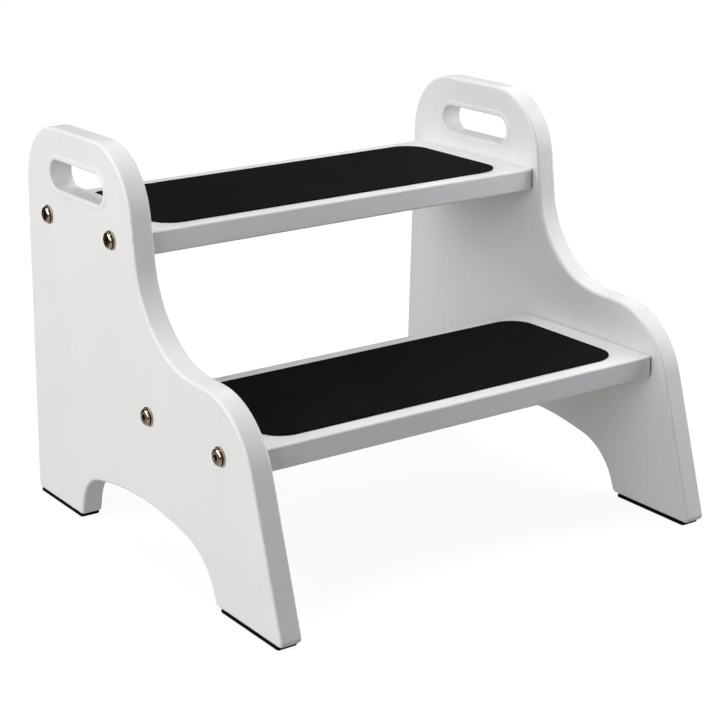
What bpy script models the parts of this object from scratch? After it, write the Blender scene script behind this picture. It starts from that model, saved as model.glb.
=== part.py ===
"""Two-step stool: two side panels with handle slots, two treads bolted between them, pads and foot strips.

Metres, +Z up. The origin is on the floor at the middle of the stool. X is its width, and its front faces -Y.
"""

import math

import bmesh
import bpy
from mathutils import Matrix, Vector

# Overall size
WIDTH = 0.400
BOARD = 0.018  # thickness of every board
GAP = 0.0003  # left between pieces that touch
FOOT_Z = 0.003  # height of the feet's undersides above the floor
TOP_Z = 0.321

# Side panel: corners (y, z) of its outline with the radius that rounds each, anticlockwise from the rear heel
PANEL_CORNERS = (
    (0.1927, FOOT_Z, 0.005),
    (0.1732, TOP_Z, 0.0525),
    (0.0068, TOP_Z, 0.056),
    (-0.0102, 0.1710, 0.078),
    (-0.1467, 0.1670, 0.066),
    (-0.1936, FOOT_Z, 0.004),
    (-0.1037, FOOT_Z, 0.004),
    (-0.0902, 0.0375, 0.050),
    (0.0108, 0.0590, 0.315),
    (0.1028, 0.0375, 0.037),
    (0.1118, FOOT_Z, 0.004),
)
ARC_STEP = math.radians(15)  # most that one straight facet of a rounded corner turns
ARC_SAG = 0.00007  # most that a facet strays from its arc
PANEL_ROUND = 0.0025

# Handle slot: a stadium with a raised lip round its mouth on both faces of the board
SLOT_CENTRE = (0.0872, 0.2844)
SLOT_LENGTH = 0.0892
SLOT_HEIGHT = 0.0230
LIP_WIDTH = 0.0048
LIP_HEIGHT = 0.0008
MOUTH_ROUND = 0.0016
MOUTH_STEPS = 3
LIP_PROFILE = (  # shares of the lip's width and height, up its outer side to its flat crown
    (0.96, 0.5),
    (0.86, 0.85),
    (0.70, 1.0),
)
SLOT_END_FACETS = 8  # for each quarter of its outline

# Treads
TREAD_DEPTH = 0.1605
TREAD_CORNER = 0.003
TREAD_ROUND = 0.002
TREAD_LENGTH = WIDTH - 2 * BOARD - 2 * GAP
TREADS = {  # name: (front edge y, top z)
    "upper": (0.0058, 0.2586),
    "lower": (-0.1458, 0.1325),
}

# Non-slip pads on the treads
PAD_LENGTH = 0.326
PAD_SHIFT = -0.003  # of each pad's middle, towards the left panel
PAD_THICK = 0.001
PAD_CORNER = 0.022
PAD_SPANS = {  # name: (front edge, rear edge), measured back from the tread's front edge
    "upper": (0.0119, 0.1435),
    "lower": (0.0132, 0.1450),
}

# Fixings. A bolt's seat is the outer face of its panel. Its place is measured from the tread's front edge.
BOLT_INSETS = {"front": 0.0280, "rear": 0.1335}
SHANK_RADIUS = 0.0030
SHANK_LENGTH = 0.0500
HEAD_RADIUS = 0.0066
HEAD_HEIGHT = 0.0024
SOCKET_RADIUS = 0.0025  # across the corners of the hexagon
SOCKET_DEPTH = 0.0017
WASHER_RADIUS = 0.0075
WASHER_BORE = 0.0033
WASHER_THICK = 0.0010
HOLE_RADIUS = 0.0034
NUT_RADIUS = 0.0050
NUT_LENGTH = 0.0120
NUT_FROM_END = 0.0260
NUT_SLOT = (0.0015, 0.0015)  # width and depth of its screwdriver slot
END_HOLE_DEPTH = 0.0340
NUT_POCKET_DEPTH = 0.0153
NUT_POCKET_RADIUS = NUT_RADIUS + GAP

# Strips under the feet
STRIP_INSET_X = 0.0005
STRIP_CORNER = 0.002
STRIP_SPANS = {"front": (-0.1871, -0.1082), "rear": (0.1147, 0.1903)}

SIDES = {"left": -1, "right": 1}


def clear_scene():
    for obj in list(bpy.data.objects):
        bpy.data.objects.remove(obj, do_unlink=True)


def collection(name, hidden=False):
    made = bpy.data.collections.new(name)
    made.hide_render = hidden
    bpy.context.scene.collection.children.link(made)
    return made


def material(name, colour, roughness, metallic=0.0):
    made = bpy.data.materials.new(name)
    made.use_nodes = True
    shader = made.node_tree.nodes["Principled BSDF"]
    shader.inputs["Base Color"].default_value = (*colour, 1.0)
    shader.inputs["Roughness"].default_value = roughness
    shader.inputs["Metallic"].default_value = metallic
    made.diffuse_color = (*colour, 1.0)
    return made


def add_object(name, mesh, where, finish=None):
    obj = bpy.data.objects.new(name, mesh)
    where.objects.link(obj)
    if finish:
        mesh.materials.append(finish)
    return obj


def rounded_outline(corners, facets=None):
    """Points of a closed polygon whose corners (x, y, radius) are arcs, of so many facets if given."""
    points = []
    count = len(corners)
    for i, (x, y, radius) in enumerate(corners):
        corner = Vector((x, y))
        back = (Vector(corners[i - 1][:2]) - corner).normalized()
        ahead = (Vector(corners[(i + 1) % count][:2]) - corner).normalized()
        half = back.angle(ahead) / 2
        centre = corner + (back + ahead).normalized() * radius / math.sin(half)
        start = corner + back * radius / math.tan(half) - centre
        turn = (corner + ahead * radius / math.tan(half) - centre).angle_signed(start)
        widest = min(ARC_STEP, 2 * math.acos(1 - ARC_SAG / radius))
        steps = facets or math.ceil(abs(turn) / widest)
        for k in range(steps + 1):
            spoke = start.copy()
            spoke.rotate(Matrix.Rotation(turn * k / steps, 2))
            points.append(centre + spoke)
    return points


def rectangle(x0, x1, y0, y1, radius):
    return [(x0, y0, radius), (x1, y0, radius), (x1, y1, radius), (x0, y1, radius)]


def extruded(name, outline, thickness, where, finish=None):
    """Mesh object of a closed outline of (x, y) points, extruded along its own Z about z = 0."""
    curve = bpy.data.curves.new(name + "_outline", "CURVE")
    curve.dimensions = "2D"
    curve.fill_mode = "BOTH"
    curve.extrude = thickness / 2
    spline = curve.splines.new("POLY")
    spline.points.add(len(outline) - 1)
    for point, (x, y) in zip(spline.points, outline):
        point.co = (x, y, 0.0, 1.0)
    spline.use_cyclic_u = True
    sketch = bpy.data.objects.new(name + "_sketch", curve)
    where.objects.link(sketch)
    bpy.context.view_layer.update()
    graph = bpy.context.evaluated_depsgraph_get()
    mesh = bpy.data.meshes.new_from_object(sketch.evaluated_get(graph))
    mesh.name = name
    bpy.data.objects.remove(sketch, do_unlink=True)
    shape = bmesh.new()
    shape.from_mesh(mesh)
    bmesh.ops.remove_doubles(shape, verts=shape.verts, dist=1e-6)
    bmesh.ops.dissolve_limit(shape, angle_limit=math.radians(0.1), verts=shape.verts, edges=shape.edges)
    shape.to_mesh(mesh)
    shape.free()
    return add_object(name, mesh, where, finish)


def cylinders(name, frames, radius, length, where, finish=None, sides=20):
    """One mesh object holding a cylinder about the own Z of each frame."""
    mesh = bpy.data.meshes.new(name)
    shape = bmesh.new()
    half_facet = Matrix.Rotation(math.pi / sides, 4, "Z")
    for frame in frames:
        bmesh.ops.create_cone(
            shape,
            cap_ends=True,
            segments=sides,
            radius1=radius,
            radius2=radius,
            depth=length,
            matrix=frame @ half_facet,
        )
    shape.to_mesh(mesh)
    shape.free()
    return add_object(name, mesh, where, finish)


def turned(name, profile, where, finish, sides=24):
    """Solid turned about its own Z from a profile of (radius, z) points, read up its outer side."""
    mesh = bpy.data.meshes.new(name)
    downwards = [(r, 0.0, z) for r, z in reversed(profile)]
    mesh.from_pydata(downwards, [(i, i + 1) for i in range(len(downwards) - 1)], [])
    obj = add_object(name, mesh, where, finish)
    screw = obj.modifiers.new("Turn", "SCREW")
    screw.steps = sides
    screw.render_steps = sides
    screw.use_merge_vertices = True
    screw.merge_threshold = 0.00001
    return obj


def shade_smooth(obj, limit=40):
    obj.data.polygons.foreach_set("use_smooth", [True] * len(obj.data.polygons))
    obj.data.set_sharp_from_angle(angle=math.radians(limit))


def round_rims(obj, width, segments):
    """Rounds the rims of an extruded board and leaves the edges along its thickness alone."""
    shape = bmesh.new()
    shape.from_mesh(obj.data)
    layer = shape.edges.layers.float.new("bevel_weight_edge")
    for edge in shape.edges:
        a, b = (vert.co for vert in edge.verts)
        edge[layer] = 1.0 if abs(a.z - b.z) < 1e-6 else 0.0
    shape.to_mesh(obj.data)
    shape.free()
    bevel = obj.modifiers.new("Rounded rims", "BEVEL")
    bevel.limit_method = "WEIGHT"
    bevel.width = width
    bevel.segments = segments


def cut(obj, cutter, operation="DIFFERENCE"):
    """Takes the cutter's shape out of the object or, as a union, adds it."""
    cutter.display_type = "WIRE"
    boolean = obj.modifiers.new("With " + cutter.name, "BOOLEAN")
    boolean.operation = operation
    boolean.solver = "EXACT"
    boolean.object = cutter


def upright(x, y, z):
    return Matrix.Translation((x, y, z))


def along_x(x, y, z):
    """Frame at a point whose own Z lies along world X."""
    return upright(x, y, z) @ Matrix.Rotation(math.pi / 2, 4, "Y")


def bolt_places():
    """(tread, front or rear, y, z) of each bolt through a panel."""
    for tread, (front, top) in TREADS.items():
        for row, inset in BOLT_INSETS.items():
            yield tread, row, front + inset, top - BOARD / 2


def slot_section(spread):
    """The slot's outline, grown outwards by this much."""
    y, z = SLOT_CENTRE
    long, high = SLOT_LENGTH / 2 + spread, SLOT_HEIGHT / 2 + spread
    radius = high * 0.999  # just short of half the height, so that no two corners' arcs meet
    return rounded_outline(rectangle(y - long, y + long, z - high, z + high, radius), SLOT_END_FACETS)


def slot_loft(name, levels, where):
    """Solid through the slot's sections at (height, spread), given from mid-board up and mirrored below."""
    levels = [(-height, spread) for height, spread in reversed(levels)] + levels
    shape = bmesh.new()
    rings = []
    for height, spread in levels:
        rings.append([shape.verts.new((x, y, height)) for x, y in slot_section(spread)])
    for low_ring, high_ring in zip(rings, rings[1:]):
        for i in range(len(low_ring)):
            shape.faces.new((low_ring[i - 1], low_ring[i], high_ring[i], high_ring[i - 1]))
    shape.faces.new(rings[0])
    shape.faces.new(rings[-1])
    bmesh.ops.recalc_face_normals(shape, faces=shape.faces)
    mesh = bpy.data.meshes.new(name)
    shape.to_mesh(mesh)
    shape.free()
    return add_object(name, mesh, where)


def slot_lip(name, where):
    """Block as wide as the lip, which stands proud of both faces of a board about z = 0."""
    levels = [(BOARD / 4, LIP_WIDTH)]
    levels += [(BOARD / 2 + up * LIP_HEIGHT, out * LIP_WIDTH) for out, up in LIP_PROFILE]
    return slot_loft(name, levels, where)


def slot_cutter(name, where):
    """What the slot takes out of the board and its lip, with the mouth's rounded edge."""
    top = BOARD / 2 + LIP_HEIGHT
    levels = []
    for k in range(MOUTH_STEPS):
        angle = math.pi / 2 * k / MOUTH_STEPS
        levels.append((top - MOUTH_ROUND * (1 - math.sin(angle)), MOUTH_ROUND * (1 - math.cos(angle))))
    height, spread = levels[-1]
    beyond = 1.5  # the last facet runs on, through the lip's crown
    levels.append((height + (top - height) * beyond, spread + (MOUTH_ROUND - spread) * beyond))
    return slot_loft(name, levels, where)


def add_panel(side_name, where, cutters, finish):
    """Board cut to the outline, its own X along world Y and its own Y along world Z."""
    middle_x = SIDES[side_name] * (WIDTH - BOARD) / 2
    stand_up = upright(middle_x, 0, 0) @ Matrix(((0, 0, 1, 0), (1, 0, 0, 0), (0, 1, 0, 0), (0, 0, 0, 1)))
    panel = extruded(side_name + "_side_panel", rounded_outline(PANEL_CORNERS), BOARD, where, finish)
    panel.matrix_world = stand_up
    shade_smooth(panel)
    round_rims(panel, PANEL_ROUND, 3)
    lip = slot_lip(side_name + "_slot_lip", cutters)
    lip.matrix_world = stand_up
    cut(panel, lip, "UNION")
    slot = slot_cutter(side_name + "_slot", cutters)
    slot.matrix_world = stand_up
    cut(panel, slot)
    holes = [along_x(middle_x, y, z) for _tread, _row, y, z in bolt_places()]
    cut(panel, cylinders(side_name + "_panel_holes", holes, HOLE_RADIUS, 2 * BOARD, cutters))
    return panel


def add_tread(tread, where, cutters, finish):
    front, top = TREADS[tread]
    long, deep = TREAD_LENGTH / 2, TREAD_DEPTH / 2
    outline = rounded_outline(rectangle(-long, long, -deep, deep, TREAD_CORNER))
    board = extruded(tread + "_tread", outline, BOARD, where, finish)
    shade_smooth(board)
    round_rims(board, TREAD_ROUND, 3)
    board.location = (0, front + deep, top - BOARD / 2)
    end_holes = []
    nut_pockets = []
    for side in SIDES.values():
        for inset in BOLT_INSETS.values():
            end_holes.append(along_x(side * long, front + inset, top - BOARD / 2))
            nut_pockets.append(upright(side * (long - NUT_FROM_END), front + inset, top - BOARD))
    cut(board, cylinders(tread + "_end_holes", end_holes, HOLE_RADIUS, 2 * END_HOLE_DEPTH, cutters))
    deep_pockets = 2 * NUT_POCKET_DEPTH
    cut(board, cylinders(tread + "_nut_pockets", nut_pockets, NUT_POCKET_RADIUS, deep_pockets, cutters))
    return board


def add_tread_pad(tread, where, finish):
    front, top = TREADS[tread]
    near, far = PAD_SPANS[tread]
    long, deep = PAD_LENGTH / 2, (far - near) / 2
    outline = rounded_outline(rectangle(-long, long, -deep, deep, PAD_CORNER))
    pad = extruded(tread + "_tread_pad", outline, PAD_THICK, where, finish)
    pad.location = (PAD_SHIFT, front + (near + far) / 2, top + GAP + PAD_THICK / 2)
    return pad


def add_foot_strip(side_name, foot, where, finish):
    near, far = STRIP_SPANS[foot]
    wide, long = BOARD / 2 - STRIP_INSET_X, (far - near) / 2
    outline = rounded_outline(rectangle(-wide, wide, -long, long, STRIP_CORNER))
    thick = FOOT_Z - GAP
    strip = extruded(side_name + "_" + foot + "_foot_pad", outline, thick, where, finish)
    strip.location = (SIDES[side_name] * (WIDTH - BOARD) / 2, (near + far) / 2, thick / 2)
    return strip


def outward(side, y, z, distance):
    """Frame whose own Z points out of a panel, set this far out from the panel's outer face."""
    turn = Matrix.Rotation(side * math.pi / 2, 4, "Y")
    return Matrix.Translation((side * (WIDTH / 2 + distance), y, z)) @ turn


def bolt_profile():
    """Shank, then the seat, round shoulder and flat top of the head. z = 0 is the seat."""
    chamfer = 0.0005
    points = [(0.0, -SHANK_LENGTH)]
    points += [(SHANK_RADIUS - chamfer, -SHANK_LENGTH), (SHANK_RADIUS, chamfer - SHANK_LENGTH)]
    points += [(SHANK_RADIUS, 0.0), (HEAD_RADIUS - 0.0002, 0.0), (HEAD_RADIUS, 0.0002)]
    rim, flat, steps = 0.0007, 0.0045, 5
    for k in range(steps + 1):
        angle = math.pi / 2 * k / steps
        radius = flat + (HEAD_RADIUS - flat) * math.cos(angle)
        points.append((radius, rim + (HEAD_HEIGHT - rim) * math.sin(angle)))
    points.append((0.0, HEAD_HEIGHT))
    return points


def add_bolt(name, side, y, z, where, cutters, finish):
    frame = outward(side, y, z, GAP + WASHER_THICK + GAP)
    bolt = turned(name, bolt_profile(), where, finish)
    bolt.matrix_world = frame
    mouth = frame @ upright(0, 0, HEAD_HEIGHT)
    cut(bolt, cylinders(name + "_socket", [mouth], SOCKET_RADIUS, 2 * SOCKET_DEPTH, cutters, sides=6))
    return bolt


def add_washer(name, side, y, z, where, finish):
    ring = [(WASHER_BORE, 0.0), (WASHER_RADIUS - 0.0003, 0.0), (WASHER_RADIUS, 0.0003)]
    ring += [(WASHER_RADIUS, WASHER_THICK - 0.0003), (WASHER_RADIUS - 0.0003, WASHER_THICK)]
    ring += [(WASHER_BORE, WASHER_THICK), (WASHER_BORE, 0.0)]
    washer = turned(name, ring, where, finish)
    washer.matrix_world = outward(side, y, z, GAP)
    return washer


def add_barrel_nut(name, side, y, z, where, cutters, finish):
    x = side * (TREAD_LENGTH / 2 - NUT_FROM_END)
    nut = cylinders(name, [upright(x, y, z)], NUT_RADIUS, NUT_LENGTH, where, finish)
    thread = [along_x(x, y, z)]
    cut(nut, cylinders(name + "_thread", thread, SHANK_RADIUS + GAP, 4 * NUT_RADIUS, cutters))
    mesh = bpy.data.meshes.new(name + "_driver_slot")
    shape = bmesh.new()
    wide, deep = NUT_SLOT
    size = Matrix.Diagonal((4 * NUT_RADIUS, wide, 2 * deep, 1.0))
    bmesh.ops.create_cube(shape, size=1.0, matrix=size)
    shape.to_mesh(mesh)
    shape.free()
    driver = add_object(name + "_driver_slot", mesh, cutters)
    driver.location = (x, y, z - NUT_LENGTH / 2)
    cut(nut, driver)
    return nut


def build():
    clear_scene()
    stool = collection("step_stool")
    cutters = collection("cutters", hidden=True)
    paint = material("white_paint", (0.80, 0.80, 0.79), 0.35)
    mat = material("black_mat", (0.012, 0.012, 0.013), 0.75)
    rubber = material("black_foam_rubber", (0.010, 0.010, 0.010), 0.80)
    brass = material("antique_brass", (0.55, 0.42, 0.24), 0.30, 1.0)
    bronze = material("dark_bronze", (0.28, 0.26, 0.22), 0.35, 1.0)
    zinc = material("zinc", (0.62, 0.62, 0.60), 0.40, 1.0)

    for tread in TREADS:
        add_tread(tread, stool, cutters, paint)
        add_tread_pad(tread, stool, mat)
    for side_name, side in SIDES.items():
        add_panel(side_name, stool, cutters, paint)
        for foot in STRIP_SPANS:
            add_foot_strip(side_name, foot, stool, rubber)
        for tread, row, y, z in bolt_places():
            place = "_".join((side_name, tread, row))
            add_bolt(place + "_bolt", side, y, z, stool, cutters, brass)
            add_washer(place + "_washer", side, y, z, stool, bronze)
            add_barrel_nut(place + "_barrel_nut", side, y, z, stool, cutters, zinc)
    bpy.context.view_layer.update()


build()
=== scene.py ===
"""Looks of the two-step stool: fine boards, mats, foot strips and fixings for the plain CAD solids.

Metres, in the CAD's own frame: +Z up, the stool's front towards -Y, its left side panel at -X. Every
board, mat, strip and fixing rides on the one body, "root", and stands for the CAD node in the same
place. Colours are linear red, green and blue.
"""

import math

import bmesh
import bpy
from mathutils import Matrix, Vector


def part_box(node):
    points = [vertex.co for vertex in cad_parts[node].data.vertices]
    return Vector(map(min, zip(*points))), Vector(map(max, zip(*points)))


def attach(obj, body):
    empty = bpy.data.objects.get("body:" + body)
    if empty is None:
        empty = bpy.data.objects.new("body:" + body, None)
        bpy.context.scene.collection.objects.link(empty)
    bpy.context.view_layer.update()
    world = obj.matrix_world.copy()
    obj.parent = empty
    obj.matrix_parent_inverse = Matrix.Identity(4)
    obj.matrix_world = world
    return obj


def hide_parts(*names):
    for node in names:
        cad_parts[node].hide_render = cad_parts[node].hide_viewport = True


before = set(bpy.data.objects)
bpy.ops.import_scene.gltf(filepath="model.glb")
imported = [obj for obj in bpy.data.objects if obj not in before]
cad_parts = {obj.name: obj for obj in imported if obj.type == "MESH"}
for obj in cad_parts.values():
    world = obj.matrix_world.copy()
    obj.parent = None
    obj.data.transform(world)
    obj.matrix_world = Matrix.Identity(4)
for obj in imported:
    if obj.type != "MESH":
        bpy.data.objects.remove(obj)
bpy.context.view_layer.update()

BODY = "root"
SIDES = {"left": -1, "right": 1}
TREADS = ("upper", "lower")
ROWS = ("front", "rear")

# Side panel: corners (y, z) of its outline with the radius that rounds each, anticlockwise from the
# rear heel
FOOT_Z = 0.003
TOP_Z = 0.321
PANEL_CORNERS = (
    (0.1927, FOOT_Z, 0.005),
    (0.1732, TOP_Z, 0.0525),
    (0.0068, TOP_Z, 0.056),
    (-0.0102, 0.1710, 0.078),
    (-0.1467, 0.1670, 0.066),
    (-0.1936, FOOT_Z, 0.004),
    (-0.1037, FOOT_Z, 0.004),
    (-0.0902, 0.0375, 0.050),
    (0.0108, 0.0590, 0.315),
    (0.1028, 0.0375, 0.037),
    (0.1118, FOOT_Z, 0.004),
)
BOARD = 0.018
PANEL_ROUND = 0.0025
SLOT_CENTRE = (0.0872, 0.2844)
SLOT_LENGTH = 0.0892
SLOT_HEIGHT = 0.0230
LIP_WIDTH = 0.0048
LIP_HEIGHT = 0.0008
MOUTH_ROUND = 0.0016

# Treads, mats and foot strips take their sizes from the frame. These are their corners seen from
# above, the rounding of their upper and lower edges, the width of the painted shade in the gap at a
# tread's ends and how far a strip bulges.
TREAD_CORNER = 0.003
TREAD_ROUND = 0.0018
GAP_SHADE_WIDTH = 0.0013
MAT_CORNER = 0.022
MAT_ROUND = 0.0004
STRIP_CORNER = 0.002
STRIP_ROUND = 0.0005
STRIP_BULGE = 0.00025

# Holes and fixings
HOLE_RADIUS = 0.0034
HOLE_ROUND = 0.0004
END_HOLE_DEPTH = 0.034
NUT_POCKET_RADIUS = 0.0053
NUT_POCKET_DEPTH = 0.0153
SHANK_RADIUS = 0.0030
SHANK_LENGTH = 0.0500
THREAD_LENGTH = 0.0250
THREAD_PITCH = 0.0010
THREAD_DEPTH = 0.0005
THREAD_ROWS = 8  # rings of points in each turn
TIP_CHAMFER = 0.0004
NECK_FLARE = 0.0003
HEAD_RADIUS = 0.0066
HEAD_HEIGHT = 0.0024
HEAD_FLAT = 0.0045
HEAD_RIM = 0.0007
HEAD_FOOT_ROUND = 0.00025
SOCKET_RADIUS = 0.0025
SOCKET_DEPTH = 0.0017
SOCKET_CHAMFER = 0.0004
BOLT_TURNS = (23, 71, 37)  # degrees: every bolt, more for each row, and more or less by side
WASHER_BORE = 0.0033
WASHER_ROUND = 0.0003
NUT_RADIUS = 0.005
NUT_BORE = 0.0032
NUT_SLOT_WIDTH = 0.0015
NUT_CHAMFER = 0.0005

# Surfaces
PAINT_DULL = (0.795, 0.795, 0.790)
PAINT_BRIGHT = (0.840, 0.840, 0.837)
PAINT_SPECK = (0.33, 0.33, 0.34)
PAINT_WORN = (0.60, 0.59, 0.57)
# painted shade in the gap between a tread's front corner and a side panel
PAINT_GAP_SHADE = (0.020, 0.024, 0.032)
GRAIN_ALONG = 9.0
GRAIN_ACROSS = 420.0
SPECK_SCALE = 75.0
SPECK_SHARE = 0.025
RAW_DARK = (0.30, 0.19, 0.10)
RAW_LIGHT = (0.50, 0.36, 0.22)
MAT_PITCH = 0.0020
MAT_DARK = (0.0020, 0.0021, 0.0025)
MAT_DUSTY = (0.0045, 0.0046, 0.0050)
MAT_DOT = (0.0240, 0.0240, 0.0250)
FOAM_DARK = (0.0025, 0.0025, 0.0025)
FOAM_LIGHT = (0.0070, 0.0070, 0.0070)
BRASS_BRIGHT = (0.76, 0.61, 0.44)
BRASS_DULL = (0.46, 0.35, 0.23)
BRONZE_BRIGHT = (0.58, 0.52, 0.44)
BRONZE_DULL = (0.34, 0.30, 0.25)
ZINC_BRIGHT = (0.68, 0.69, 0.70)
ZINC_DULL = (0.50, 0.51, 0.52)
# Colour painted in as shade in the fixings' hollows and as a dark reflection on the bolts' flat tops, and
# how much of it the flat tops take
SHADE_AND_REFLECTION_DARK = (0.035, 0.022, 0.012)
TOP_REFLECTION_DARK = 0.45

# How finely round shapes are divided
ARC_STEP = math.radians(3)
RIM_STEPS = 8
SIDES_ROUND = 64

# Camera, in metres, degrees about X, Y and Z, and millimetres
CAMERA_PLACE = (-0.82620, -1.21632, 0.59486)
CAMERA_TURN = (72.3272, 0.7265, -34.4111)
CAMERA_LENS = 95.709
CAMERA_SENSOR = 36.0

# Stage. A lamp is at an azimuth and elevation in degrees from the stool's middle. Azimuth 0 is the
# stool's right, and 90 its back.
STOOL_MIDDLE = (0.0, 0.0, 0.16)
FAR = (2.2, 1.2)  # a lamp's distance and size
NEAR = (1.1, 0.5)
LAMPS = {  # azimuth, elevation, distance and size, watts, colour
    "top": (0, 89.9, FAR, 26, (0.96, 0.97, 1.0)),
    "left_rear": (157.5, 18, FAR, 26.5, (1.0, 0.985, 0.965)),
    "left_front": (202.5, 18, FAR, 18, (1.0, 0.99, 0.975)),
    "right_rear": (45, 40, FAR, 10, (1.0, 0.97, 0.90)),
    "right_low": (337.5, 12, NEAR, 5.2, (0.86, 0.92, 1.0)),
    "right_high": (337.5, 45, NEAR, 2.5, (1.0, 0.97, 0.92)),
}
WORLD_COLOUR = (1.0, 0.99, 0.98)
WORLD_EDGE = (-0.31, -0.28)  # sines of the elevations between which the world darkens upwards
WORLD_BELOW = 0.42
WORLD_ABOVE = 0.03
FLOOR_GREY = (0.12, 0.12, 0.12)
FLOOR_GLOW = (0.90, 1.0)  # under the stool, and past the second distance
FLOOR_GLOW_SPAN = (0.3, 1.5)
STUDIO_RADIUS = 8.0
STUDIO_HEIGHT = 6.0
STUDIO_CURVE_STEPS = 12
FLOOR_Z = -0.0002


# ---------------------------------------------------------------- nodes of a material


def new_material(name, **sockets):
    """A material whose Principled shader's sockets hold these values, its node tree and its shader."""
    made = bpy.data.materials.new(name)
    made.use_nodes = True
    tree = made.node_tree
    shader = tree.nodes["Principled BSDF"]
    for socket, value in sockets.items():
        shader.inputs[socket.replace("_", " ")].default_value = value
    return made, tree, shader


def node(tree, kind, inputs, **settings):
    """A node with these settings. An input given as a socket is linked, and any other is set."""
    made = tree.nodes.new("ShaderNode" + kind)
    for setting, value in settings.items():
        setattr(made, setting, value)
    for socket, value in inputs.items():
        if isinstance(value, bpy.types.NodeSocket):
            tree.links.new(value, made.inputs[socket])
        else:
            made.inputs[socket].default_value = value
    return made


def maths(tree, operation, *values):
    return node(tree, "Math", dict(enumerate(values)), operation=operation).outputs[0]


def between(tree, value, low, high, to_low=0.0, to_high=1.0):
    """The value's place between low and high, within them, as a place between to_low and to_high."""
    ends = {"From Min": low, "From Max": high, "To Min": to_low, "To Max": to_high}
    return node(tree, "MapRange", {"Value": value, **ends}).outputs["Result"]


def mixed(tree, share, first, second):
    """Colour that goes from the first to the second as share goes from 0 to 1."""
    made = node(tree, "Mix", {}, data_type="RGBA")
    factor, a, b = made.inputs[0], made.inputs[6], made.inputs[7]
    tree.links.new(share, factor)
    for socket, colour in ((a, first), (b, second)):
        if isinstance(colour, bpy.types.NodeSocket):
            tree.links.new(colour, socket)
        else:
            socket.default_value = (*colour, 1.0)
    return made.outputs[2]


def object_coordinates(tree, scale=(1.0, 1.0, 1.0), turn=0.0):
    """Coordinates in the piece's own frame, scaled and turned about Z."""
    place = node(tree, "TexCoord", {}).outputs["Object"]
    inputs = {"Vector": place, "Scale": scale, "Rotation": (0.0, 0.0, turn)}
    return node(tree, "Mapping", inputs).outputs[0]


def noise(tree, where, scale, detail=2.0, roughness=0.5):
    inputs = {"Vector": where, "Scale": scale, "Detail": detail, "Roughness": roughness}
    return node(tree, "TexNoise", inputs).outputs["Fac"]


def bump(tree, height, distance, strength=1.0, under=None):
    inputs = {"Height": height, "Distance": distance, "Strength": strength}
    if under:
        inputs["Normal"] = under
    return node(tree, "Bump", inputs).outputs[0]


# ---------------------------------------------------------------- materials


def paint_material(name, grain):
    """Satin white paint on board: streaks along the grain, faint clouds, specks, worn edges and painted
    shade.

    The meshes' "rim" attribute says where edges may be worn, and a second attribute where painted shade
    darkens the gap at a tread's ends.
    """
    made, tree, shader = new_material(name, Specular_IOR_Level=0.45)
    scales = tuple(GRAIN_ALONG if axis == grain else GRAIN_ACROSS for axis in "XYZ")
    streaked = object_coordinates(tree, scales)
    plain = object_coordinates(tree)
    streaks = noise(tree, streaked, 1.0, 4.0, 0.6)
    clouds = noise(tree, plain, 14.0, 3.0)
    peel = noise(tree, plain, 900.0, 1.0)

    streak_tone = between(tree, streaks, 0.3, 0.7, 0.0, 0.55)
    cloud_tone = between(tree, clouds, 0.3, 0.7, 0.0, 0.45)
    tone = maths(tree, "ADD", streak_tone, cloud_tone)
    colour = mixed(tree, tone, PAINT_DULL, PAINT_BRIGHT)

    cells = node(tree, "TexVoronoi", {"Vector": plain, "Scale": SPECK_SCALE})
    draw = node(tree, "SeparateColor", {0: cells.outputs["Color"]}).outputs[0]
    chosen = maths(tree, "GREATER_THAN", draw, 1 - SPECK_SHARE)
    dot = between(tree, cells.outputs["Distance"], 0.025, 0.05, 1.0, 0.0)
    speck = maths(tree, "MULTIPLY", maths(tree, "MULTIPLY", chosen, dot), 0.35)
    colour = mixed(tree, speck, colour, PAINT_SPECK)

    rim = node(tree, "Attribute", {}, attribute_name="rim").outputs["Fac"]
    patches = between(tree, noise(tree, plain, 60.0, 4.0, 0.65), 0.55, 0.72)
    worn = maths(tree, "MULTIPLY", rim, patches)
    colour = mixed(tree, maths(tree, "MULTIPLY", worn, 0.5), colour, PAINT_WORN)
    # Painted shade in the gap at a tread's front corners, beside the side panels
    gap_shade = node(tree, "Attribute", {}, attribute_name="gap_shade").outputs["Fac"]
    colour = mixed(tree, gap_shade, colour, PAINT_GAP_SHADE)
    tree.links.new(colour, shader.inputs["Base Color"])

    rough = between(tree, clouds, 0.3, 0.7, 0.34, 0.42)
    rough = maths(tree, "ADD", rough, maths(tree, "MULTIPLY", worn, 0.15))
    tree.links.new(rough, shader.inputs["Roughness"])
    relief = bump(tree, streaks, 0.00005, 0.6)
    relief = bump(tree, peel, 0.00003, 0.6, relief)
    tree.links.new(relief, shader.inputs["Normal"])
    return made


def raw_board_material():
    """Bare fibreboard, seen only inside the holes."""
    made, tree, shader = new_material("raw_fibreboard", Specular_IOR_Level=0.2)
    fibres = noise(tree, object_coordinates(tree), 1200.0, 4.0, 0.7)
    colour = mixed(tree, fibres, RAW_DARK, RAW_LIGHT)
    tree.links.new(colour, shader.inputs["Base Color"])
    tree.links.new(between(tree, fibres, 0.0, 1.0, 0.75, 0.95), shader.inputs["Roughness"])
    tree.links.new(bump(tree, fibres, 0.0003, 0.5), shader.inputs["Normal"])
    return made


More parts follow.
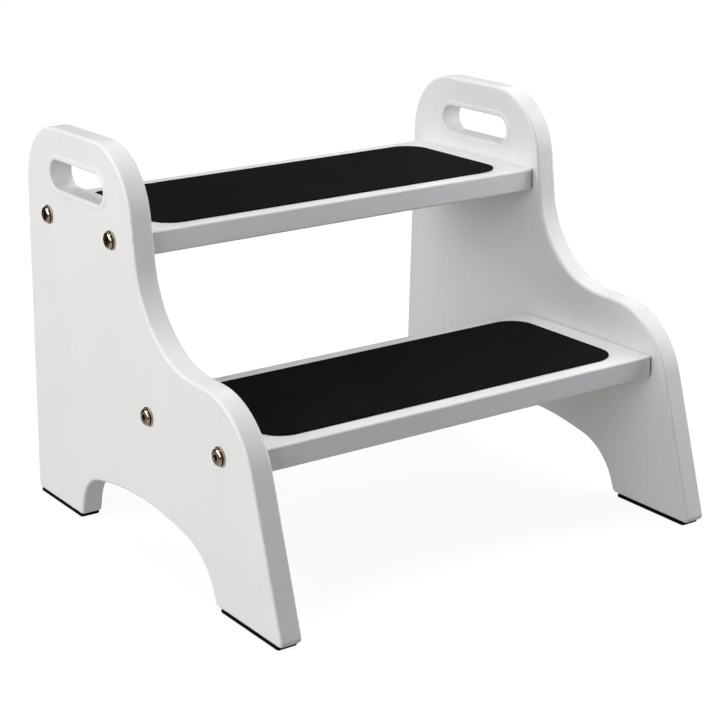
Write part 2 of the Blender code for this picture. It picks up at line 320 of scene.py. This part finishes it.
def mat_material():
    """Black non-slip mat, embossed all over with a fine staggered grid of dots."""
    made, tree, shader = new_material("black_grip_mat", Specular_IOR_Level=0.015)
    staggered = object_coordinates(tree, turn=math.pi / 4)
    dots = node(tree, "TexVoronoi", {"Vector": staggered, "Scale": 1 / MAT_PITCH, "Randomness": 0.0})
    dome = between(tree, dots.outputs["Distance"], 0.12, 0.36, 1.0, 0.0)
    plain = object_coordinates(tree)
    dust = noise(tree, plain, 22.0, 4.0, 0.6)
    grit = noise(tree, plain, 2600.0, 2.0)
    colour = mixed(tree, between(tree, dust, 0.3, 0.75), MAT_DARK, MAT_DUSTY)
    colour = mixed(tree, dome, colour, MAT_DOT)
    tree.links.new(colour, shader.inputs["Base Color"])
    tree.links.new(between(tree, grit, 0.3, 0.7, 0.62, 0.80), shader.inputs["Roughness"])
    relief = bump(tree, dome, 0.00025, 0.8)
    relief = bump(tree, grit, 0.00005, 0.5, relief)
    tree.links.new(relief, shader.inputs["Normal"])
    return made


def foam_material():
    """Black foam rubber with fine closed cells."""
    made, tree, shader = new_material("black_foam", Specular_IOR_Level=0.05)
    plain = object_coordinates(tree)
    cells = node(tree, "TexVoronoi", {"Vector": plain, "Scale": 2200.0}).outputs["Distance"]
    colour = mixed(tree, between(tree, cells, 0.0, 0.7), FOAM_DARK, FOAM_LIGHT)
    tree.links.new(colour, shader.inputs["Base Color"])
    tree.links.new(between(tree, cells, 0.0, 0.7, 0.72, 0.88), shader.inputs["Roughness"])
    tree.links.new(bump(tree, cells, 0.00015, 0.7), shader.inputs["Normal"])
    return made


def metal_material(name, bright, dull, smooth, rough, marks, painted_dark=None):
    """Plated metal, clouded from bright and smooth to dull and rough, with turning marks round Z.

    marks is their depth in hundredths of a millimetre. The last argument gives the share of painted shade
    and painted dark reflection from a tree, the distance from Z and the height.
    """
    made, tree, shader = new_material(name, Metallic=1.0)
    plain = object_coordinates(tree)
    clouds = noise(tree, plain, 420.0, 4.0, 0.65)
    rings = node(
        tree,
        "TexWave",
        {"Vector": plain, "Scale": 900.0, "Distortion": 1.2, "Detail": 2.0, "Detail Scale": 1.5},
        wave_type="RINGS",
        rings_direction="Z",
    ).outputs["Fac"]
    colour = mixed(tree, between(tree, clouds, 0.35, 0.7), bright, dull)
    roughness = between(tree, clouds, 0.3, 0.75, smooth, rough)
    if painted_dark:
        flat = node(tree, "VectorMath", {0: plain, 1: (1.0, 1.0, 0.0)}, operation="MULTIPLY").outputs[0]
        radius = node(tree, "VectorMath", {0: flat}, operation="LENGTH").outputs["Value"]
        height = node(tree, "SeparateXYZ", {0: plain}).outputs["Z"]
        # The colour is darkened by painted shade, and on a bolt's flat top by a painted dark reflection
        dark = painted_dark(tree, radius, height)
        colour = mixed(tree, dark, colour, SHADE_AND_REFLECTION_DARK)
        roughness = maths(tree, "ADD", roughness, maths(tree, "MULTIPLY", dark, 0.1))
    tree.links.new(colour, shader.inputs["Base Color"])
    tree.links.new(roughness, shader.inputs["Roughness"])
    relief = bump(tree, rings, 0.00001 * marks, 0.5)
    relief = bump(tree, clouds, 0.00003, 0.5, relief)
    tree.links.new(relief, shader.inputs["Normal"])
    return made


def bolt_shade_and_reflection(tree, radius, height):
    """Painted shade in the socket and round the head's foot, and a painted dark reflection partly over
    its flat top.
    """
    within = between(tree, radius, SOCKET_RADIUS + 0.0005, SOCKET_RADIUS + 0.0002)
    sunk = between(tree, height, HEAD_HEIGHT - 0.0001, HEAD_HEIGHT - 0.0005)
    socket = maths(tree, "MULTIPLY", within, sunk)
    foot = between(tree, height, HEAD_RIM + 0.0003, HEAD_RIM)
    # A painted dark reflection, partly darkening the flat top
    top = between(tree, radius, HEAD_FLAT + 0.0004, HEAD_FLAT - 0.0002, 0.0, TOP_REFLECTION_DARK)
    return maths(tree, "MAXIMUM", maths(tree, "MAXIMUM", socket, foot), top)


def washer_painted_shade(tree, radius, _height):
    """Painted shade from the bore to just outside the bolt's head, where the head shades the washer."""
    return between(tree, radius, HEAD_RADIUS + 0.0003, HEAD_RADIUS - 0.0001)


# ---------------------------------------------------------------- shapes


def rounded_outline(corners):
    """(point, outward way) pairs round an anticlockwise polygon with arcs for (x, y, radius) corners."""
    pairs = []
    count = len(corners)
    for i, (x, y, radius) in enumerate(corners):
        corner = Vector((x, y))
        back = (Vector(corners[i - 1][:2]) - corner).normalized()
        ahead = (Vector(corners[(i + 1) % count][:2]) - corner).normalized()
        half = back.angle(ahead) / 2
        centre = corner + (back + ahead).normalized() * radius / math.sin(half)
        start = corner + back * radius / math.tan(half) - centre
        turn = (corner + ahead * radius / math.tan(half) - centre).angle_signed(start)
        steps = math.ceil(abs(turn) / ARC_STEP)
        for k in range(steps + 1):
            spoke = start.copy()
            spoke.rotate(Matrix.Rotation(turn * k / steps, 2))
            pairs.append((centre + spoke, spoke.normalized() * math.copysign(1, turn)))
    return pairs


def circle_outline(x, y, radius):
    angles = [2 * math.pi * k / SIDES_ROUND for k in range(SIDES_ROUND)]
    outward = [Vector((math.cos(angle), math.sin(angle))) for angle in angles]
    return [(Vector((x, y)) + way * radius, way) for way in outward]


def rectangle(x0, x1, y0, y1, radius):
    return [(x0, y0, radius), (x1, y0, radius), (x1, y1, radius), (x0, y1, radius)]


def joined(shape, below, above):
    """Faces from one ring of vertices to the next."""
    for i in range(len(below)):
        shape.faces.new((below[i - 1], below[i], above[i], above[i - 1]))


def rounded_edge(thickness, rounding):
    """(height, shift, wear) up the rounded edge of a board, from its middle to its upper face."""
    levels = []
    for k in range(RIM_STEPS + 1):
        angle = math.pi / 2 * k / RIM_STEPS
        height = thickness / 2 - rounding * (1 - math.sin(angle))
        levels.append((height, rounding * (1 - math.cos(angle)), math.sin(2 * angle)))
    return levels


def lipped_edge():
    """The same for the handle slot: up its throat, round its mouth and down its lip's outer side."""
    levels = rounded_edge(BOARD + 2 * LIP_HEIGHT, MOUTH_ROUND)
    for k in range(1, RIM_STEPS + 1):
        angle = math.pi / 2 * k / RIM_STEPS
        shift = MOUTH_ROUND + (LIP_WIDTH - MOUTH_ROUND) * math.sin(angle)
        levels.append((BOARD / 2 + LIP_HEIGHT * math.cos(angle), shift, 0.0))
    return levels


def rim(shape, worn, outline, inward, upper):
    """Makes a board's edge along an outline, and returns its rings of vertices at the two faces.

    inward is the way from the outline into the material: -1 at the board's edge, 1 round a hole.
    """
    levels = [(-height, shift, wear) for height, shift, wear in reversed(upper) if height > 0] + upper
    rings = []
    for height, shift, wear in levels:
        spots = [point + outward * inward * shift for point, outward in outline]
        ring = [shape.verts.new((*spot, height)) for spot in spots]
        for vertex in ring:
            vertex[worn] = wear
        rings.append(ring)
    for below, above in zip(rings, rings[1:]):
        joined(shape, below, above)
    return rings[0], rings[-1]


def filled(shape, loops, up):
    """Flat face of a board within its outer ring and round its holes' rings."""
    edges = []
    for loop in loops:
        edges += [shape.edges.get((loop[i - 1], loop[i])) for i in range(len(loop))]
    bmesh.ops.triangle_fill(shape, edges=edges, use_beauty=True, normal=(0.0, 0.0, up))


def add_object(name, mesh, finish=None):
    obj = bpy.data.objects.new(name, mesh)
    bpy.context.scene.collection.objects.link(obj)
    if finish and not mesh.materials:
        mesh.materials.append(finish)
    return obj


def mesh_of(name, shape):
    bmesh.ops.recalc_face_normals(shape, faces=shape.faces)
    mesh = bpy.data.meshes.new(name)
    shape.to_mesh(mesh)
    shape.free()
    return mesh


def board_mesh(name, outline, edge, holes=()):
    """Board about z = 0 with holes through it. Outline and holes each have the levels of their edge."""
    shape = bmesh.new()
    worn = shape.verts.layers.float.new("rim")
    rims = [rim(shape, worn, outline, -1, edge)]
    rims += [rim(shape, worn, hole, 1, hole_edge) for hole, hole_edge in holes]
    for end, up in ((0, -1), (1, 1)):
        filled(shape, [pair[end] for pair in rims], up)
    return mesh_of(name, shape)


def stacked_mesh(name, rings, closed=False):
    """Mesh through rings of points. If closed, the last joins the first, or else both ends are capped."""
    shape = bmesh.new()
    made = [[shape.verts.new(point) for point in ring] for ring in rings]
    for below, above in zip(made, made[1:]):
        joined(shape, below, above)
    if closed:
        joined(shape, made[-1], made[0])
    else:
        shape.faces.new(made[0])
        shape.faces.new(made[-1])
    return mesh_of(name, shape)


def turned_rings(profile, count=SIDES_ROUND):
    """Rings about Z for each (radius, z) of a profile. A radius may be a function of the angle."""
    angles = [2 * math.pi * k / count for k in range(count)]
    rings = []
    for radius, z in profile:
        at = radius if callable(radius) else lambda _angle, r=radius: r
        rings.append([(at(a) * math.cos(a), at(a) * math.sin(a), z) for a in angles])
    return rings


def cylinder(name, radius, length, finish, count=SIDES_ROUND):
    profile = [(radius, -length / 2), (radius, length / 2)]
    return add_object(name, stacked_mesh(name, turned_rings(profile, count)), finish)


def applied(obj):
    """The object's mesh as its modifiers leave it, in place of the mesh and the modifiers."""
    bpy.context.view_layer.update()
    graph = bpy.context.evaluated_depsgraph_get()
    mesh = bpy.data.meshes.new_from_object(obj.evaluated_get(graph))
    obj.modifiers.clear()
    obj.data = mesh
    return mesh


def cut(obj, *cutters):
    """Takes the cutters' shapes out of the object. The walls that they leave have their material."""
    for cutter in cutters:
        boolean = obj.modifiers.new("Cut", "BOOLEAN")
        boolean.operation = "DIFFERENCE"
        boolean.solver = "EXACT"
        boolean.material_mode = "TRANSFER"
        boolean.object = cutter
    mesh = applied(obj)
    for cutter in cutters:
        bpy.data.objects.remove(cutter, do_unlink=True)
    return mesh


def shade(mesh, sharp=35):
    mesh.polygons.foreach_set("use_smooth", [True] * len(mesh.polygons))
    mesh.set_sharp_from_angle(angle=math.radians(sharp))


def keep_flats(obj):
    """Weights the shading by area, so that flat faces stay flat up to their rounded rims."""
    weighted = obj.modifiers.new("Flat faces stay flat", "WEIGHTED_NORMAL")
    weighted.keep_sharp = True


def along_x(x, y, z, side=1):
    """Frame at a point whose own Z lies along world X, towards this side."""
    return Matrix.Translation((x, y, z)) @ Matrix.Rotation(side * math.pi / 2, 4, "Y")


def stands_for(obj, node_name):
    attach(obj, BODY)
    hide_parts(node_name)


def middle(node_name):
    low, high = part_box(node_name)
    return (low + high) / 2


# ---------------------------------------------------------------- pieces


def slot_outline():
    y, z = SLOT_CENTRE
    long, high = SLOT_LENGTH / 2, SLOT_HEIGHT / 2
    return rounded_outline(rectangle(y - long, y + long, z - high, z + high, high * 0.999))


def bolt_spots(side_name):
    """Middle of each bolt in a side panel."""
    return [middle("_".join((side_name, tread, row, "bolt"))) for tread in TREADS for row in ROWS]


def add_panel(side_name, finish):
    """Side board, made flat with its own X and Y along world Y and Z, then stood up."""
    cad = side_name + "_side_panel"
    hole_edge = rounded_edge(BOARD, HOLE_ROUND)
    holes = [(slot_outline(), lipped_edge())]
    for spot in bolt_spots(side_name):
        holes.append((circle_outline(spot.y, spot.z, HOLE_RADIUS), hole_edge))
    edge = rounded_edge(BOARD, PANEL_ROUND)
    mesh = board_mesh(cad + "_board", rounded_outline(PANEL_CORNERS), edge, holes)
    mesh.transform(Matrix(((0, 0, 1, middle(cad).x), (1, 0, 0, 0), (0, 1, 0, 0), (0, 0, 0, 1))))
    shade(mesh)
    panel = add_object(cad + "_board", mesh, finish)
    keep_flats(panel)
    stands_for(panel, cad)


def mark_gap_shade(mesh, low, high):
    """Marks the tread's front corners for painted shade, where the gap beside each side panel lies in
    shadow.
    """
    gap_shade = mesh.attributes.new("gap_shade", "FLOAT", "POINT")
    middle_z, flat = (low.z + high.z) / 2, (high.z - low.z) / 2 - TREAD_ROUND
    for vertex, mark in zip(mesh.vertices, gap_shade.data):
        x, y, z = vertex.co
        at_end = abs(x) > high.x - GAP_SHADE_WIDTH
        mark.value = float(at_end and y < low.y + TREAD_CORNER and abs(z - middle_z) <= flat + 0.0001)


def add_tread(tread, finish, raw):
    """Tread board with a hole for each bolt in its ends and a pocket below for each barrel nut."""
    cad = tread + "_tread"
    low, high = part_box(cad)
    outline = rounded_outline(rectangle(low.x, high.x, low.y, high.y, TREAD_CORNER))
    mesh = board_mesh(cad + "_board", outline, rounded_edge(high.z - low.z, TREAD_ROUND))
    mesh.transform(Matrix.Translation((0, 0, (low.z + high.z) / 2)))
    board = add_object(cad + "_board", mesh, finish)
    board.data.materials.append(raw)
    cutters = []
    for side_name, side in SIDES.items():
        for row in ROWS:
            nut = middle("_".join((side_name, tread, row, "barrel_nut")))
            end = high.x if side > 0 else low.x
            hole = cylinder("end_hole", HOLE_RADIUS, 2 * END_HOLE_DEPTH, raw, SIDES_ROUND // 2)
            hole.matrix_world = along_x(end, nut.y, nut.z)
            pocket = cylinder("nut_pocket", NUT_POCKET_RADIUS, 2 * NUT_POCKET_DEPTH, raw)
            pocket.location = (nut.x, nut.y, low.z)
            cutters += [hole, pocket]
    mark_gap_shade(cut(board, *cutters), low, high)
    shade(board.data)
    keep_flats(board)
    stands_for(board, cad)


def add_mat(tread, finish):
    cad = tread + "_tread_pad"
    low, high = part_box(cad)
    outline = rounded_outline(rectangle(low.x, high.x, low.y, high.y, MAT_CORNER))
    mesh = board_mesh(tread + "_tread_mat", outline, rounded_edge(high.z - low.z, MAT_ROUND))
    mesh.transform(Matrix.Translation((0, 0, (low.z + high.z) / 2)))
    shade(mesh)
    mat = add_object(tread + "_tread_mat", mesh, finish)
    keep_flats(mat)
    stands_for(mat, cad)


def add_foot_strip(side_name, foot, finish):
    """Foam strip, squeezed a little by the stool's weight, so that its sides bulge."""
    cad = "_".join((side_name, foot, "foot_pad"))
    low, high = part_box(cad)
    x0, x1 = low.x + STRIP_BULGE, high.x - STRIP_BULGE
    y0, y1 = low.y + STRIP_BULGE, high.y - STRIP_BULGE
    outline = rounded_outline(rectangle(x0, x1, y0, y1, STRIP_CORNER))
    edge = [(0.0, -STRIP_BULGE, 0.0), *rounded_edge(high.z - low.z, STRIP_ROUND)]
    mesh = board_mesh(cad + "_strip", outline, edge)
    mesh.transform(Matrix.Translation((0, 0, (low.z + high.z) / 2)))
    shade(mesh)
    strip = add_object(cad + "_strip", mesh, finish)
    keep_flats(strip)
    stands_for(strip, cad)


def thread_radius(z):
    """Radius of the shank's thread at this height, as a function of the angle round it."""
    start = THREAD_LENGTH - SHANK_LENGTH
    fade = min(1.0, (start - z) / THREAD_PITCH, (z + SHANK_LENGTH) / THREAD_PITCH)

    def at(angle):
        phase = (z / THREAD_PITCH - angle / (2 * math.pi)) % 1.0
        crest = 1 - abs(2 * phase - 1)
        return SHANK_RADIUS - THREAD_DEPTH * (1 - crest * fade)

    return at


def bolt_profile():
    """(radius, z) up the bolt: threaded end, plain shank and a head with a round shoulder.

    z = 0 is the head's underside.
    """
    root = SHANK_RADIUS - THREAD_DEPTH
    profile = [(root - TIP_CHAMFER, -SHANK_LENGTH), (root, -SHANK_LENGTH + TIP_CHAMFER)]
    turns = round(THREAD_LENGTH / THREAD_PITCH) - 1
    for k in range(1, turns * THREAD_ROWS):
        z = -SHANK_LENGTH + TIP_CHAMFER + k * THREAD_PITCH / THREAD_ROWS
        profile.append((thread_radius(z), z))
    profile += [(SHANK_RADIUS, THREAD_LENGTH - SHANK_LENGTH), (SHANK_RADIUS, -NECK_FLARE)]
    profile.append((SHANK_RADIUS + NECK_FLARE, 0.0))
    foot_steps, shoulder_steps = 4, 16
    for k in range(foot_steps + 1):
        angle = math.pi / 2 * k / foot_steps
        radius = HEAD_RADIUS - HEAD_FOOT_ROUND * (1 - math.sin(angle))
        profile.append((radius, HEAD_FOOT_ROUND * (1 - math.cos(angle))))
    for k in range(shoulder_steps + 1):
        angle = math.pi / 2 * k / shoulder_steps
        radius = HEAD_FLAT + (HEAD_RADIUS - HEAD_FLAT) * math.cos(angle)
        profile.append((radius, HEAD_RIM + (HEAD_HEIGHT - HEAD_RIM) * math.sin(angle)))
    return profile


def bolt_mesh(finish):
    """Flat-topped bolt with a hexagon socket whose mouth is chamfered."""
    bolt = add_object("bolt", stacked_mesh("socket_head_bolt", turned_rings(bolt_profile())), finish)
    hexagon = cylinder("socket", SOCKET_RADIUS, 2 * SOCKET_DEPTH, finish, 6)
    hexagon.location.z = HEAD_HEIGHT
    bore = SOCKET_RADIUS * math.cos(math.pi / 6)
    mouth = [(bore - SOCKET_CHAMFER / 2, -SOCKET_CHAMFER), (bore + SOCKET_CHAMFER * 1.5, SOCKET_CHAMFER)]
    chamfer = add_object("chamfer", stacked_mesh("chamfer", turned_rings(mouth)), finish)
    chamfer.location.z = HEAD_HEIGHT
    mesh = cut(bolt, hexagon, chamfer)
    shade(mesh, 30)
    bpy.data.objects.remove(bolt, do_unlink=True)
    return mesh


def washer_mesh(thick, outer, finish):
    """Flat washer with rolled edges, about z = 0 to thick."""
    left, right = WASHER_BORE + WASHER_ROUND, outer - WASHER_ROUND
    bottom, top = WASHER_ROUND, thick - WASHER_ROUND
    profile, steps = [], 4
    for quarter, (x, z) in enumerate(((right, top), (left, top), (left, bottom), (right, bottom))):
        for k in range(steps + 1):
            angle = math.pi / 2 * (quarter + k / steps)
            profile.append((x + WASHER_ROUND * math.cos(angle), z + WASHER_ROUND * math.sin(angle)))
    mesh = stacked_mesh("flat_washer", turned_rings(profile), closed=True)
    mesh.materials.append(finish)
    shade(mesh, 30)
    return mesh


def nut_mesh(length, finish):
    """Barrel nut along Z with a cross bore along X and a driver slot in its lower end."""
    half, across = length / 2, 4 * NUT_RADIUS
    profile = [(NUT_RADIUS - NUT_CHAMFER, -half), (NUT_RADIUS, NUT_CHAMFER - half)]
    profile += [(NUT_RADIUS, half - NUT_CHAMFER), (NUT_RADIUS - NUT_CHAMFER, half)]
    nut = add_object("nut", stacked_mesh("barrel_nut", turned_rings(profile)), finish)
    bore = cylinder("bore", NUT_BORE, across, finish, SIDES_ROUND // 2)
    bore.matrix_world = along_x(0, 0, 0)
    shape = bmesh.new()
    bmesh.ops.create_cube(shape, matrix=Matrix.Diagonal((across, NUT_SLOT_WIDTH, 2 * NUT_SLOT_WIDTH, 1)))
    driver = add_object("driver", mesh_of("driver", shape), finish)
    driver.location.z = -half
    mesh = cut(nut, bore, driver)
    shade(mesh, 30)
    bpy.data.objects.remove(nut, do_unlink=True)
    return mesh


def add_fixings(brass, bronze, zinc):
    """A bolt, washer and barrel nut at each place where a side panel meets a tread."""
    low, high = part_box("left_upper_front_washer")
    washer_data = washer_mesh(high.x - low.x, (high.y - low.y) / 2, bronze)
    low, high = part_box("left_upper_front_barrel_nut")
    nut_data = nut_mesh(high.z - low.z, zinc)
    bolt_data = bolt_mesh(brass)
    turn, row_turn, side_turn = BOLT_TURNS
    for side_name, side in SIDES.items():
        for tread in TREADS:
            for number, row in enumerate(ROWS):
                place = "_".join((side_name, tread, row))
                low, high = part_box(place + "_bolt")
                spot = middle(place + "_bolt")
                outside = (high.x if side > 0 else low.x) - side * HEAD_HEIGHT
                bolt = add_object(place + "_socket_bolt", bolt_data)
                degrees = turn + row_turn * number + side_turn * side
                tightened = Matrix.Rotation(math.radians(degrees), 4, "Z")
                bolt.matrix_world = along_x(outside, spot.y, spot.z, side) @ tightened
                stands_for(bolt, place + "_bolt")
                low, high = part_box(place + "_washer")
                washer = add_object(place + "_flat_washer", washer_data)
                washer.matrix_world = along_x(low.x if side > 0 else high.x, spot.y, spot.z, side)
                stands_for(washer, place + "_washer")
                nut = add_object(place + "_cross_nut", nut_data)
                nut.location = middle(place + "_barrel_nut")
                stands_for(nut, place + "_barrel_nut")


# ---------------------------------------------------------------- stage


def add_floor():
    """White studio floor that curves up into a round wall, far outside the view.

    It takes faint shadows, but throws no light or reflection on the stool: the world's lower half
    stands for the soft light off it.
    """
    profile = [(STUDIO_RADIUS, 0.0)]
    for k in range(1, STUDIO_CURVE_STEPS + 1):
        angle = math.pi / 2 * k / STUDIO_CURVE_STEPS
        profile.append((STUDIO_RADIUS + math.sin(angle), 1 - math.cos(angle)))
    profile.append((STUDIO_RADIUS + 1, STUDIO_HEIGHT))
    floor = add_object("studio_floor", stacked_mesh("studio_floor", turned_rings(profile)))
    shade(floor.data)
    floor.location.z = FLOOR_Z
    made, tree, shader = new_material("pale_floor", Roughness=0.9, Base_Color=(*FLOOR_GREY, 1.0))
    shader.inputs["Emission Color"].default_value = (1.0, 1.0, 1.0, 1.0)
    place = object_coordinates(tree)
    distance = node(tree, "VectorMath", {0: place}, operation="LENGTH").outputs["Value"]
    glow = between(tree, distance, *FLOOR_GLOW_SPAN, *FLOOR_GLOW)
    tree.links.new(glow, shader.inputs["Emission Strength"])
    floor.data.materials.append(made)
    floor.visible_diffuse = False
    floor.visible_glossy = False
    floor.visible_shadow = False


def add_light(name, azimuth, elevation, distance, size, watts, colour):
    """Square soft lamp that faces the stool's middle and isn't seen itself."""
    lamp = bpy.data.lights.new(name, "AREA")
    lamp.size = size
    lamp.energy = watts
    lamp.color = colour
    obj = bpy.data.objects.new(name, lamp)
    bpy.context.scene.collection.objects.link(obj)
    around, up = math.radians(azimuth), math.radians(elevation)
    way = Vector((math.cos(around) * math.cos(up), math.sin(around) * math.cos(up), math.sin(up)))
    obj.location = Vector(STOOL_MIDDLE) + way * distance
    obj.rotation_euler = (-way).to_track_quat("-Z", "Y").to_euler()
    obj.visible_camera = False


def add_lights():
    """The lamps, and a world that is brighter below than above, as light off a white floor is."""
    for name, (azimuth, elevation, (distance, size), watts, colour) in LAMPS.items():
        add_light(name, azimuth, elevation, distance, size, watts, colour)
    world = bpy.data.worlds.new("studio")
    world.use_nodes = True
    tree = world.node_tree
    background = tree.nodes["Background"]
    background.inputs["Color"].default_value = (*WORLD_COLOUR, 1.0)
    way = node(tree, "TexCoord", {}).outputs["Generated"]
    up = node(tree, "SeparateXYZ", {0: way}).outputs["Z"]
    strength = between(tree, up, *WORLD_EDGE, WORLD_BELOW, WORLD_ABOVE)
    tree.links.new(strength, background.inputs["Strength"])
    bpy.context.scene.world = world


def add_camera():
    lens = bpy.data.cameras.new("camera")
    lens.lens = CAMERA_LENS
    lens.sensor_width = CAMERA_SENSOR
    camera = bpy.data.objects.new("camera", lens)
    camera.location = CAMERA_PLACE
    camera.rotation_euler = [math.radians(angle) for angle in CAMERA_TURN]
    bpy.context.scene.collection.objects.link(camera)
    bpy.context.scene.camera = camera


def build():
    upright_paint = paint_material("white_paint_upright", "Z")
    level_paint = paint_material("white_paint_level", "X")
    raw = raw_board_material()
    mat = mat_material()
    foam = foam_material()
    brass = metal_material("antique_brass", BRASS_BRIGHT, BRASS_DULL, 0.10, 0.20, 1.0, bolt_shade_and_reflection)
    bronze = metal_material("dark_bronze", BRONZE_BRIGHT, BRONZE_DULL, 0.24, 0.38, 2.0, washer_painted_shade)
    zinc = metal_material("bright_zinc", ZINC_BRIGHT, ZINC_DULL, 0.30, 0.45, 2.0)

    for side_name in SIDES:
        add_panel(side_name, upright_paint)
        for foot in ROWS:
            add_foot_strip(side_name, foot, foam)
    for tread in TREADS:
        add_tread(tread, level_paint, raw)
        add_mat(tread, mat)
    add_fixings(brass, bronze, zinc)
    add_floor()
    add_lights()
    add_camera()
    bpy.context.scene.view_settings.view_transform = "Standard"


build()
